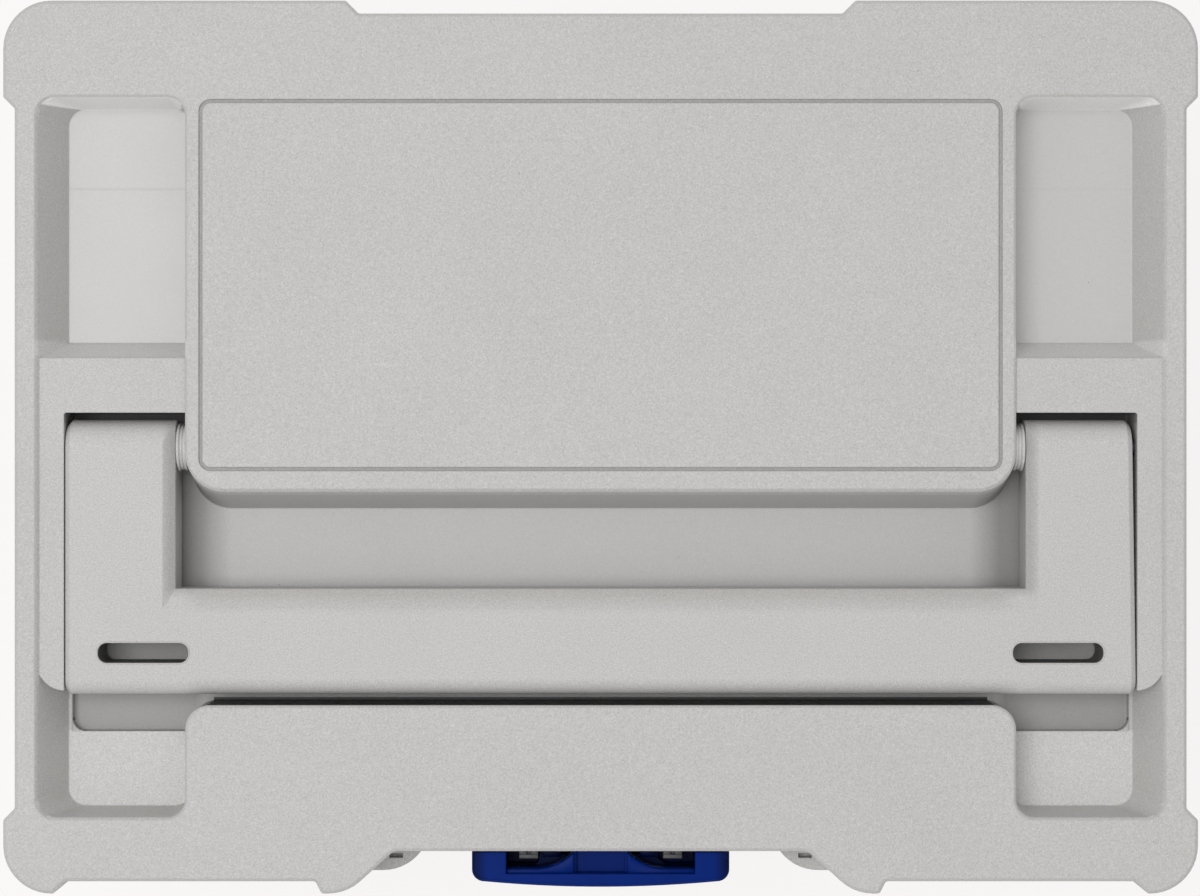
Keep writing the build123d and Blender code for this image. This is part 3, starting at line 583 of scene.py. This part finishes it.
# Zones of the handle. Every colour here is painted shade.
HANDLE_SHADE_ZONES = (
    # Painted shade on the front of the bar.
    Zone((-10.0, 139.0), (-94.0, -76.5), (165.0, 205.0), (0.370, 0.364, 0.358), 0.0, 7.0),
    # Painted shade on the back of the bar.
    Zone((-10.0, 139.0), (-55.5, -38.0), (165.0, 205.0), (0.470, 0.456, 0.442), 0.0, 6.5),
    # Painted shade on the inner slopes of the arms.
    Zone((132.0, 145.6), (-50.0, 10.0), (150.0, 195.0), (0.440, 0.432, 0.424), 0.0, 3.0),
    # Painted shade, near black, on the walls of the slots.
    Zone((136.0, 167.2), (-71.8, -64.6), (150.0, 186.3), (0.130, 0.128, 0.125), 0.0, 0.2),
)


class Finish(Enum):
    """Every finish of the case, each with the record's slot that it stands for."""

    CASE = (
        "case_grey",
        MouldedPlastic(
            "case_plastic",
            (0.560, 0.549, 0.536),
            zones=CASE_LIGHT_AND_SHADE_ZONES,
            mould_lines_mm=(87.0,),
        ),
    )
    HANDLE = (
        "handle_grey",
        MouldedPlastic("handle_plastic", (0.572, 0.560, 0.548), zones=HANDLE_SHADE_ZONES),
    )
    BUSH = (
        "bush_grey",
        MouldedPlastic(
            "bush_plastic",
            (0.60, 0.59, 0.58),
            roughness=0.42,
            grain_depth_mm=0.010,
            edge_mm=0.3,
            dust=0.0,
        ),
    )
    # Hooks: a much darker copy of the bushes' grey, which paints the shade of the deep holes they sit
    # in.
    HOOK = (
        "bush_grey",
        MouldedPlastic(
            "shaded_hook_plastic",
            (0.120, 0.121, 0.128),
            roughness=0.45,
            grain_depth_mm=0.02,
            grain_tint=0.2,
            edge_mm=0.3,
            dust=0.0,
        ),
    )
    LATCH = ("latch_blue", SatinPlastic("latch_plastic", (0.0004, 0.0160, 0.1560)))
    DARK_PIN = (
        "pin_steel",
        TurnedSteel("blackened_pins", (0.075, 0.075, 0.080), 0.48, (26.0, 1.0, 1.0)),
    )
    PIN = ("pin_steel", TurnedSteel("plated_pins", (0.60, 0.60, 0.61), 0.32, (26.0, 1.0, 1.0)))
    SPRING = ("spring_steel", TurnedSteel("spring_wire", (0.52, 0.52, 0.54), 0.26, (1.0, 12.0, 1.0)))

    @property
    def slot(self) -> str:
        """Name of the record's material slot."""
        return self.value[0]

    def material(self) -> bpy.types.Material:
        """The material, made at its first use."""
        finish = self.value[1]
        return bpy.data.materials.get(finish.name) or finish.make()


class Part:
    """What every sub-assembly does with its solids."""

    body: str = ""

    def dress(self, node: str, finish: Finish) -> None:
        """Gives a solid its finish and leaves its mesh alone.

        Args:
            node: Name of the solid.
            finish: Its finish.
        """
        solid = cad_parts[node]
        solid.data.materials.clear()
        solid.data.materials.append(None)
        solid.material_slots[0].link = "OBJECT"
        solid.material_slots[0].material = finish.material()
        log.info("%s: solid dressed in %s", node, finish.name)

    def skin(self, node: str, name: str, finish: Finish) -> None:
        """Replaces a solid by a joined copy of it that is shaded smooth round its curves.

        Args:
            node: Name of the solid.
            name: Name of the new piece.
            finish: Its finish.
        """
        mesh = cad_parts[node].data.copy()
        mesh.name = name
        shape = bmesh.new()
        shape.from_mesh(mesh)
        bmesh.ops.remove_doubles(shape, verts=shape.verts, dist=MERGE_MM * MM)
        for face in shape.faces:
            face.smooth = True
        shape.to_mesh(mesh)
        shape.free()
        mesh.set_sharp_from_angle(angle=math.radians(CURVE_DEG))
        flat_faces(mesh)
        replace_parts(self.keep(mesh, name, finish), node)

    def keep(self, mesh: bpy.types.Mesh, name: str, finish: Finish) -> bpy.types.Object:
        """Puts a finished mesh into the scene on this part's body.

        Args:
            mesh: The mesh, in its place.
            name: Name of the piece.
            finish: Its finish.

        Returns:
            The new piece.
        """
        piece = bpy.data.objects.new(name, mesh)
        bpy.context.scene.collection.objects.link(piece)
        mesh.materials.clear()
        mesh.materials.append(finish.material())
        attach(piece, self.body)
        log.info("%s: %d faces on %s", name, len(mesh.polygons), self.body)
        return piece


class Pattern(Network):
    """A geometry tree with named inputs for its sizes."""

    def __init__(self, name: str, inputs: dict[str, str]) -> None:
        """Starts the tree with its inputs and its output.

        Args:
            name: Name of the tree.
            inputs: Kind of each named input.
        """
        super().__init__(bpy.data.node_groups.new(name, "GeometryNodeTree"))
        face = self.tree.interface
        for label, kind in {"Geometry": "Geometry", **inputs}.items():
            face.new_socket(label, in_out="INPUT", socket_type=f"NodeSocket{kind}")
        face.new_socket("Geometry", in_out="OUTPUT", socket_type="NodeSocketGeometry")
        self.given = self.node("NodeGroupInput", {}, {}).outputs

    def copies(
        self, points: bpy.types.NodeSocket, shape: bpy.types.NodeSocket
    ) -> bpy.types.NodeSocket:
        """Puts a copy of a shape on every point."""
        sockets = {"Points": points, "Instance": shape}
        return self.node("GeometryNodeInstanceOnPoints", {}, sockets).outputs[0]

    def end(self, instances: bpy.types.NodeSocket, material: bpy.types.Material) -> None:
        """Makes the copies real, gives them their finish and ends the tree.

        Args:
            instances: The copies.
            material: Their finish.
        """
        real = self.node("GeometryNodeRealizeInstances", {}, {0: instances})
        sockets = {"Geometry": real.outputs[0], "Material": material}
        paint = self.node("GeometryNodeSetMaterial", {}, sockets)
        self.node("NodeGroupOutput", {}, {0: paint.outputs[0]})

    def run(self, start: bpy.types.Mesh, sizes: dict[str, Any]) -> bpy.types.Mesh:
        """Runs the tree on a mesh.

        Args:
            start: Mesh that the tree is given.
            sizes: A value for each named input.

        Returns:
            The result as a plain mesh.
        """
        holder = bpy.data.objects.new(f"{self.tree.name}_maker", start)
        bpy.context.scene.collection.objects.link(holder)
        modifier = holder.modifiers.new("pattern", "NODES")
        modifier.node_group = self.tree
        for item in self.tree.interface.items_tree:
            if item.in_out == "INPUT" and item.name in sizes:
                modifier[item.identifier] = sizes[item.name]
        ready = holder.evaluated_get(bpy.context.evaluated_depsgraph_get())
        made = bpy.data.meshes.new_from_object(ready)
        holder.modifiers.clear()
        bpy.data.objects.remove(holder)
        return made


@dataclass
class Rows:
    """A row or a grid of equal bevelled bars, made by one node tree."""

    name: str
    start: Vector
    step: Vector
    count: int
    bar: Vector
    second_step: Vector
    second_count: int
    bevel: float = 0.25

    def pattern(self, material: bpy.types.Material) -> Pattern:
        """Builds the node tree.

        Args:
            material: Finish of the bars.

        Returns:
            The tree.
        """
        kinds = {"Start": "Vector", "Step": "Vector", "Count": "Int", "Bar": "Vector"}
        made = Pattern(self.name, {**kinds, "Second Step": "Vector", "Second Count": "Int"})
        given = made.given
        sockets = {"Count": given["Count"], "Start Location": given["Start"]}
        row = made.node("GeometryNodeMeshLine", {}, {**sockets, "Offset": given["Step"]})
        sockets = {"Count": given["Second Count"], "Offset": given["Second Step"]}
        second = made.node("GeometryNodeMeshLine", {}, sockets)
        bar = made.node("GeometryNodeMeshCube", {}, {"Size": given["Bar"]})
        inner = made.copies(second.outputs[0], bar.outputs[0])
        made.end(made.copies(row.outputs[0], inner), material)
        return made

    def mesh(self, material: bpy.types.Material) -> bpy.types.Mesh:
        """Makes the bars.

        Args:
            material: Finish of the bars.

        Returns:
            The mesh.
        """
        sizes = {
            "Start": self.start,
            "Step": self.step,
            "Count": self.count,
            "Second Step": self.second_step,
            "Second Count": self.second_count,
            "Bar": self.bar,
        }
        made = self.pattern(material).run(bpy.data.meshes.new(self.name), sizes)
        return soften(made, self.bevel * MM)


def soften(mesh: bpy.types.Mesh, width: float) -> bpy.types.Mesh:
    """Bevels all sharp edges of a mesh.

    Args:
        mesh: The mesh, changed in place.
        width: Width of the bevel.

    Returns:
        The same mesh.
    """
    shape = bmesh.new()
    shape.from_mesh(mesh)
    edges = [edge for edge in shape.edges if edge.calc_face_angle(0.0) > math.radians(BEVEL_DEG)]
    bmesh.ops.bevel(shape, geom=edges, offset=width, segments=2, profile=0.5, affect="EDGES")
    bmesh.ops.recalc_face_normals(shape, faces=shape.faces)
    for face in shape.faces:
        face.smooth = True
    shape.to_mesh(mesh)
    shape.free()
    mesh.set_sharp_from_angle(angle=math.radians(CREASE_DEG))
    return mesh


def flat_areas(shape: bmesh.types.BMesh) -> list[float]:
    """Area of the flat that each face is a triangle of.

    Args:
        shape: The merged mesh.

    Returns:
        One area for each face.
    """
    shape.faces.ensure_lookup_table()
    areas = [-1.0] * len(shape.faces)
    for first in shape.faces:
        if areas[first.index] >= 0:
            continue
        areas[first.index] = 0.0
        flat, ready = [], [first]
        while ready:
            here = ready.pop()
            flat.append(here)
            for edge in here.edges:
                for other in edge.link_faces:
                    if areas[other.index] < 0 and other.normal.dot(here.normal) > FLAT_COSINE:
                        areas[other.index] = 0.0
                        ready.append(other)
        total = sum(face.calc_area() for face in flat)
        for face in flat:
            areas[face.index] = total
    return areas


def flat_faces(mesh: bpy.types.Mesh) -> None:
    """Gives each corner of a face the mean normal of the faces round it in the same curve.

    A face counts by the area of its flat, so flats stay flat and curves stay round.

    Args:
        mesh: The merged mesh, changed in place.
    """
    shape = bmesh.new()
    shape.from_mesh(mesh)
    areas = flat_areas(shape)
    limit = math.cos(math.radians(CURVE_DEG))
    normals = []
    for face in shape.faces:
        for corner in face.loops:
            total = Vector()
            for other in corner.vert.link_faces:
                if other.normal.dot(face.normal) > limit:
                    total += other.normal * areas[other.index]
            normals.append(total.normalized() if total.length else face.normal.copy())
    shape.free()
    mesh.normals_split_custom_set(normals)


def rectangle(x: Span, y: Span) -> list[Span]:
    """Corners of a rectangle between two places along X and two along Y."""
    return [(x[0], y[0]), (x[1], y[0]), (x[1], y[1]), (x[0], y[1])]


def both_sides(shape: bmesh.types.BMesh, outline: list[Span], floor: float, top: float) -> None:
    """Adds an upright block on the right and its mirror image on the left.

    Args:
        shape: The mesh that they are added to.
        outline: Points of the block's plan, in millimetres.
        floor: Height of its underside, in millimetres.
        top: Height of its top, in millimetres.
    """
    for side in (-1, 1):
        rings = [
            [shape.verts.new(Vector((side * x, y, z)) * MM) for x, y in outline]
            for z in (floor, top)
        ]
        for i in range(len(outline)):
            j = (i + 1) % len(outline)
            shape.faces.new((rings[0][i], rings[0][j], rings[1][j], rings[1][i]))
        for ring in rings:
            shape.faces.new(ring)


def finished(shape: bmesh.types.BMesh, name: str, width: float) -> bpy.types.Mesh:
    """Turns blocks into a softened mesh.

    Args:
        shape: The blocks; freed.
        name: Name of the mesh.
        width: Width of the bevel.

    Returns:
        The mesh.
    """
    bmesh.ops.recalc_face_normals(shape, faces=shape.faces)
    mesh = bpy.data.meshes.new(name)
    shape.to_mesh(mesh)
    shape.free()
    return soften(mesh, width)


def lathe(name: str, outline: list[Span], height: float) -> bpy.types.Mesh:
    """Turns a closed outline round a line along X at y = 0.

    Args:
        name: Name of the mesh.
        outline: Points of x and radius, in millimetres.
        height: Height of the line, in millimetres.

    Returns:
        The closed mesh.
    """
    mesh = bpy.data.meshes.new(name)
    shape = bmesh.new()
    rings = []
    for i in range(TURN_STEPS):
        turn = 2 * math.pi * i / TURN_STEPS
        rings.append(
            [
                shape.verts.new(Vector((x, r * math.sin(turn), height + r * math.cos(turn))) * MM)
                for x, r in outline
            ]
        )
    for i, ring in enumerate(rings):
        after = rings[(i + 1) % TURN_STEPS]
        for j in range(len(outline)):
            k = (j + 1) % len(outline)
            shape.faces.new((ring[j], ring[k], after[k], after[j])).smooth = True
    bmesh.ops.recalc_face_normals(shape, faces=shape.faces)
    shape.to_mesh(mesh)
    shape.free()
    mesh.set_sharp_from_angle(angle=math.radians(CREASE_DEG))
    return mesh


@dataclass
class SlotLips:
    """Thin moulded lips round rounded slots, made by one node tree."""

    name: str
    length: float
    width: float
    corner: float
    lip: float
    centres: tuple[Vector, ...]
    corner_steps: int = 10
    section_steps: int = 12

    def pattern(self, material: bpy.types.Material) -> Pattern:
        """Builds the node tree.

        Args:
            material: Finish of the lips.

        Returns:
            The tree.
        """
        made = Pattern(self.name, dict.fromkeys(("Length", "Width", "Corner", "Lip"), "Float"))
        given = made.given
        sockets = {"Width": given["Length"], "Height": given["Width"]}
        slot = made.node("GeometryNodeCurvePrimitiveQuadrilateral", {}, sockets)
        sockets = {"Curve": slot.outputs[0], "Count": self.corner_steps, "Radius": given["Corner"]}
        path = made.node("GeometryNodeFilletCurve", {"mode": "POLY"}, sockets)
        sockets = {"Resolution": self.section_steps, "Radius": given["Lip"]}
        section = made.node("GeometryNodeCurvePrimitiveCircle", {}, sockets)
        sockets = {"Curve": path.outputs[0], "Profile Curve": section.outputs[0]}
        swept = made.node("GeometryNodeCurveToMesh", {}, sockets)
        made.end(made.copies(given["Geometry"], swept.outputs[0]), material)
        return made

    def mesh(self, material: bpy.types.Material) -> bpy.types.Mesh:
        """Makes the lips.

        Args:
            material: Finish of the lips.

        Returns:
            The mesh.
        """
        points = bpy.data.meshes.new(self.name)
        points.from_pydata([centre * MM for centre in self.centres], [], [])
        sizes = {
            "Length": self.length * MM,
            "Width": self.width * MM,
            "Corner": self.corner * MM,
            "Lip": self.lip * MM,
        }
        made = self.pattern(material).run(points, sizes)
        for face in made.polygons:
            face.use_smooth = True
        return made


@dataclass
class Lid(Part):
    """Lid shell with the bushes and pins of its handle."""

    body: str = "lid"
    bush_start: float = 137.7
    bush_bore: float = 3.05
    bush_radius: float = 8.0
    bush_ridges: tuple[Triple, ...] = (
        (0.0, 0.95, 7.75),
        (1.25, 2.05, 7.55),
        (2.35, 3.2, 7.95),
    )
    bush_groove: float = 0.75
    bush_round: float = 0.18
    axis_height: float = 177.6
    well_corner: Span = (178.0, -95.7)
    well_radius: float = 4.4
    well_steps: int = 10
    well_z: Span = (165.0, 169.0)

    def build(self) -> None:
        """Dresses the lid's solids, rounds its well and turns the ribbed bushes."""
        self.skin("lid_shell", "lid_skin", Finish.CASE)
        self.well_corners()
        for side, sign in (("left", -1.0), ("right", 1.0)):
            self.bush(side, sign)
            self.dress(f"handle_pin_{side}", Finish.DARK_PIN)

    def well_corners(self) -> None:
        """Rounds the front outer corners of the handle's well."""
        x, y = self.well_corner
        radius = self.well_radius
        outline = [(x, y)]
        for i in range(self.well_steps + 1):
            turn = math.pi / 2 * i / self.well_steps
            outline.append(
                (x - radius + radius * math.cos(turn), y + radius - radius * math.sin(turn))
            )
        shape = bmesh.new()
        both_sides(shape, outline, *self.well_z)
        self.keep(finished(shape, "well_corners", 0.0), "well_corners", Finish.CASE)

    def bush(self, side: str, sign: float) -> None:
        """Ring with three ridges between the pad block and the handle's arm.

        Args:
            side: Left or right.
            sign: -1 on the left and 1 on the right.
        """
        groove = self.bush_radius - self.bush_groove
        start, end = self.bush_ridges[0][0], self.bush_ridges[-1][1]
        outline = [(start, self.bush_bore)]
        for low, high, radius in self.bush_ridges:
            if low > start:
                outline.append((low, groove))
            outline += [
                (low, radius - self.bush_round),
                (low + self.bush_round, radius),
                (high - self.bush_round, radius),
                (high, radius - self.bush_round),
            ]
            if high < end:
                outline.append((high, groove))
        outline.append((end, self.bush_bore))
        placed = [(sign * (self.bush_start + x), radius) for x, radius in outline]
        name = f"handle_bush_{side}_skin"
        piece = self.keep(lathe(name, placed, self.axis_height), name, Finish.BUSH)
        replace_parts(piece, f"handle_bush_{side}")


@dataclass
class LidHandle(Part):
    """Folding handle in the lid."""

    body: str = "handle"
    slot_x: float = 151.6
    slot_y: float = -68.2
    slot_length: float = 30.0
    slot_width: float = 6.6
    slot_corner: float = 3.0
    slot_lip: float = 0.28
    lip_sink: float = 0.04
    top: float = 186.7

    def build(self) -> None:
        """Dresses the handle and adds the lips round its slots."""
        self.skin("lid_handle", "lid_handle_skin", Finish.HANDLE)
        height = self.top - self.lip_sink
        lips = SlotLips(
            name="slot_lips",
            length=self.slot_length + 2 * self.slot_lip,
            width=self.slot_width + 2 * self.slot_lip,
            corner=self.slot_corner + self.slot_lip,
            lip=self.slot_lip,
            centres=tuple(Vector((side * self.slot_x, self.slot_y, height)) for side in (-1, 1)),
        )
        self.keep(lips.mesh(Finish.HANDLE.material()), "slot_lips", Finish.HANDLE)


@dataclass
class Latch(Part):
    """Turning latch and what holds it from inside."""

    body: str = "latch"
    hook_x: Span = (21.0, 27.4)
    hook_y: Triple = (-135.0, -136.9, -138.3)
    hook_z: Span = (160.5, 172.0)
    hook_notch: float = 1.4
    web_z: Span = (166.5, 179.0)
    web_x: Triple = (9.0, 22.0, 31.7)
    web_y: Span = (-142.6, -140.9)
    web_radius: float = 18.2
    web_steps: int = 14
    ledge_x: Span = (13.0, 19.5)
    ledge_y: Span = (-135.0, -137.8)
    ledge_z: Span = (170.6, 171.4)
    bevel: float = 0.2
    ledge_bevel: float = 0.1

    def build(self) -> None:
        """Dresses the latch and fills its deep holes."""
        self.skin("latch_knob", "latch_knob_skin", Finish.LATCH)
        self.dress("latch_washer", Finish.PIN)
        self.dress("latch_screw", Finish.PIN)
        self.hooks()
        self.webs()
        self.ledges()

    def hooks(self) -> None:
        """Hooks in the two deep holes, each with a small notch at its back, in a much darker copy of
        the bushes' grey that paints their shade.
        """
        low, high = self.hook_x
        back, middle, front = self.hook_y
        floor, top = self.hook_z
        side = (high - low - self.hook_notch) / 2
        shape = bmesh.new()
        for x0, x1, y0, y1, z1 in (
            (low, high, middle, front, top),
            (low, low + side, back, middle, top),
            (high - side, high, back, middle, top),
            (low + side, high - side, back, middle, top - self.hook_notch),
        ):
            both_sides(shape, rectangle((x0, x1), (y0, y1)), floor, z1)
        self.keep(finished(shape, "latch_hooks", self.bevel * MM), "latch_hooks", Finish.HOOK)

    def webs(self) -> None:
        """Webs along the front wall that curve towards the boss, over the deep holes."""
        start, flat, reach = self.web_x
        front, back = self.web_y
        outline = [(start, front), (reach, front), (reach, back)]
        for i in range(self.web_steps + 1):
            x = flat + (start - flat) * i / self.web_steps
            drop = math.sqrt(self.web_radius**2 - (flat - x) ** 2)
            outline.append((x, back + self.web_radius - drop))
        shape = bmesh.new()
        both_sides(shape, outline, *self.web_z)
        self.keep(finished(shape, "latch_webs", self.bevel * MM), "latch_webs", Finish.LATCH)

    def ledges(self) -> None:
        """Small ledges at the back of the deep holes, low enough to take the holes' painted shade, so
        they close a pale gap there with dark.
        """
        shape = bmesh.new()
        both_sides(shape, rectangle(self.ledge_x, self.ledge_y), *self.ledge_z)
        # They lie below the hole floor height of the latch's finish, so their colour is painted
        # shade.
        mesh = finished(shape, "latch_shade_ledges", self.ledge_bevel * MM)
        self.keep(mesh, "latch_shade_ledges", Finish.LATCH)


@dataclass
class FrontHandle(Part):
    """Folding carry handle under the latch."""

    body: str = "front_carry_handle"

    def build(self) -> None:
        """Dresses the handle."""
        self.skin("front_handle", "front_handle_skin", Finish.HANDLE)


@dataclass
class Body(Part):
    """Lower case with its hinges, bearing, brackets and ribs."""

    body: str = "body"
    grip_back: float = 184.0
    grip_middle_z: float = 130.0
    grip_rib_count: int = 11
    grip_rib_pitch: float = 9.0
    grip_rib_size: Triple = (1.2, 2.2, 13.0)

    def build(self) -> None:
        """Dresses the body's solids and adds the ribs in the side grips."""
        self.skin("body_shell", "body_skin", Finish.CASE)
        for side in ("left", "right"):
            self.skin(f"front_bracket_{side}", f"front_bracket_{side}_skin", Finish.HANDLE)
            self.dress(f"hinge_pin_{side}", Finish.PIN)
            self.dress(f"front_handle_pin_{side}", Finish.PIN)
        self.skin("latch_bush", "latch_bush_skin", Finish.BUSH)
        self.dress("front_bracket_screws", Finish.PIN)
        self.dress("latch_detent_spring", Finish.SPRING)
        self.grip_ribs()

    def grip_ribs(self) -> None:
        """Upright ribs on the back wall of both side grips."""
        reach = (self.grip_rib_count - 1) / 2 * self.grip_rib_pitch
        rows = Rows(
            name="grip_rib_rows",
            start=Vector((-self.grip_back, -reach, self.grip_middle_z)) * MM,
            step=Vector((0, self.grip_rib_pitch, 0)) * MM,
            count=self.grip_rib_count,
            bar=Vector(self.grip_rib_size) * MM,
            second_step=Vector((2 * self.grip_back, 0, 0)) * MM,
            second_count=2,
        )
        self.keep(rows.mesh(Finish.CASE.material()), "grip_ribs", Finish.CASE)


@dataclass
class Studio:
    """Floor, light and camera."""

    floor_colour: Colour = (0.90, 0.88, 0.87)
    floor_white: Colour = (0.985, 0.968, 0.966)
    floor_glow: float = 0.84
    floor_reach: float = 6.0
    backdrop_level: float = 0.955
    world_level: float = 0.59
    key_power: float = 19.5
    key_place: Triple = (-0.55, 0.10, 2.3)
    key_size: float = 1.3
    pixels_per_mm: float = 3.02
    frame_pixels: float = 1200.0
    lid_top: float = 0.187
    camera_distance: float = 1.0
    camera_shift: Span = (-0.0002, -0.0003)
    sensor_mm: float = 36.0

    def build(self) -> None:
        """Makes the whole studio."""
        self.floor()
        self.light()
        self.camera()
        view = bpy.context.scene.view_settings
        view.view_transform = "Standard"

    def floor(self) -> None:
        """A wide pale floor that keeps the case's shadow."""
        mesh = bpy.data.meshes.new("studio_floor")
        reach = self.floor_reach
        corners = [(-reach, -reach, 0), (reach, -reach, 0), (reach, reach, 0), (-reach, reach, 0)]
        mesh.from_pydata(corners, [], [(0, 1, 2, 3)])
        floor = bpy.data.objects.new("studio_floor", mesh)
        bpy.context.scene.collection.objects.link(floor)
        tree = Tree(bpy.data.materials.new("studio_paper"))
        sockets = {"Color": (*self.floor_colour, 1.0), "Roughness": 0.0}
        paper = tree.node("ShaderNodeBsdfDiffuse", {}, sockets)
        sockets = {"Color": (*self.floor_white, 1.0), "Strength": 1.0}
        white = tree.node("ShaderNodeEmission", {}, sockets)
        sockets = {0: tree.seen() * self.floor_glow, 1: paper.outputs[0], 2: white.outputs[0]}
        mixed = tree.node("ShaderNodeMixShader", {}, sockets)
        tree.node("ShaderNodeOutputMaterial", {}, {0: mixed.outputs[0]})
        mesh.materials.append(tree.owner)

    def light(self) -> None:
        """Even light from all round and one wide soft lamp above the left side."""
        world = bpy.data.worlds.new("studio_world")
        bpy.context.scene.world = world
        tree = Tree(world)
        sockets = {0: (1.0, 1.0, 1.0, 1.0), 1: self.world_level}
        glow = tree.node("ShaderNodeBackground", {}, sockets)
        sockets = {0: (*self.floor_white, 1.0), 1: self.backdrop_level}
        backdrop = tree.node("ShaderNodeBackground", {}, sockets)
        sockets = {0: tree.seen(), 1: glow.outputs[0], 2: backdrop.outputs[0]}
        mixed = tree.node("ShaderNodeMixShader", {}, sockets)
        tree.node("ShaderNodeOutputWorld", {}, {0: mixed.outputs[0]})
        lamp = bpy.data.lights.new("soft_lamp", "AREA")
        lamp.shape = "DISK"
        lamp.size = self.key_size
        lamp.energy = self.key_power
        holder = bpy.data.objects.new("soft_lamp", lamp)
        bpy.context.scene.collection.objects.link(holder)
        place = Vector(self.key_place)
        holder.location = place
        aim = Vector((0, 0, self.lid_top)) - place
        holder.rotation_euler = aim.to_track_quat("-Z", "Y").to_euler()

    def camera(self) -> None:
        """A camera straight above the lid, at the photograph's scale."""
        lens = bpy.data.cameras.new("camera")
        lens.sensor_width = self.sensor_mm
        span = self.frame_pixels / self.pixels_per_mm * MM
        lens.lens = self.sensor_mm * self.camera_distance / span
        camera = bpy.data.objects.new("camera", lens)
        camera.location = (*self.camera_shift, self.lid_top + self.camera_distance)
        bpy.context.scene.collection.objects.link(camera)
        bpy.context.scene.camera = camera


def main() -> None:
    """Builds every sub-assembly in order."""
    logging.basicConfig(level=logging.INFO, format="%(name)s: %(message)s")
    parts: Iterable[Any] = (Body(), Lid(), LidHandle(), Latch(), FrontHandle(), Studio())
    for part in parts:
        part.build()


if __name__ == "__main__":
    main()
